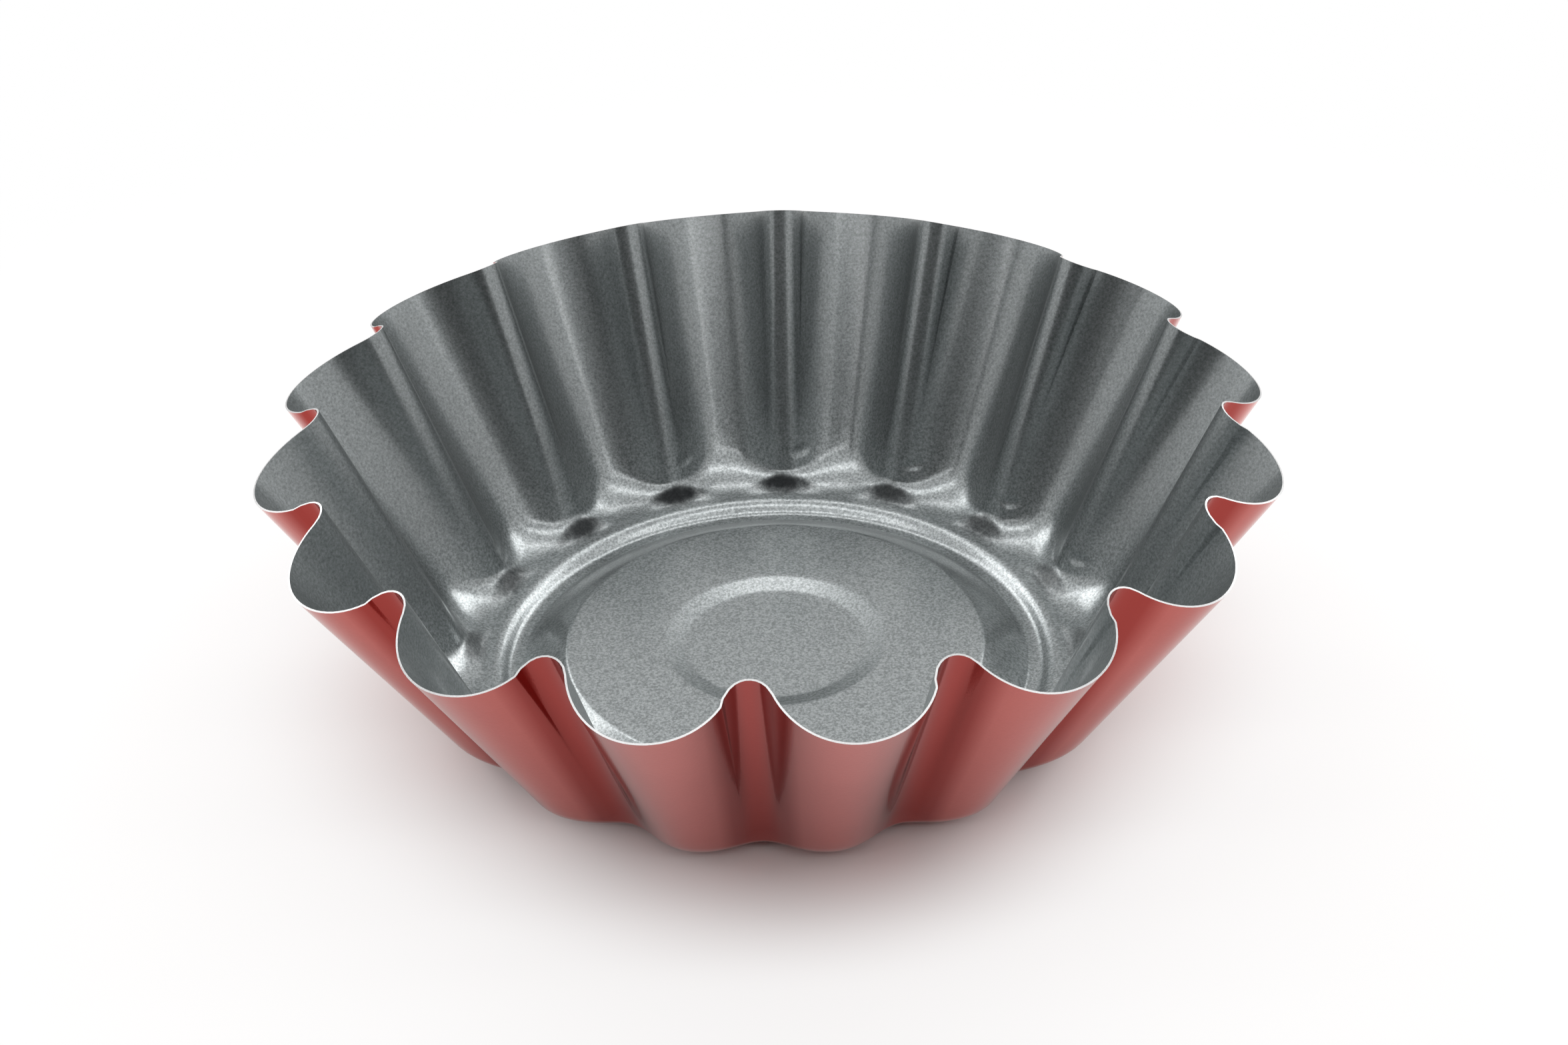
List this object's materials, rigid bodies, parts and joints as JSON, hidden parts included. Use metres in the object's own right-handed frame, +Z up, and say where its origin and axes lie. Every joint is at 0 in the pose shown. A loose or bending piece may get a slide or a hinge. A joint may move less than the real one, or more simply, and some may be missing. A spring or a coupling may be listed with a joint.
{
  "type": "fluted gugelhupf tin",
  "caption": "Round baking tin pressed from one thin steel sheet, with a wavy fluted wall that widens to the rim, a dark non-stick inside and a red outside",
  "frame": {"origin": "centre of the plane that the tin stands on", "axes": "+Z up along the tin's axis, +X through the middle of a lobe"},
  "size_m": [0.2204, 0.2204, 0.0659],
  "materials": {
    "coated_sheet": "satin red lacquer outside, satin dark grey non-stick coating inside, bare cut edge at the rim"
  },
  "bodies": {
    "root": {"tin": "coated_sheet"}
  },
  "joints": []
}
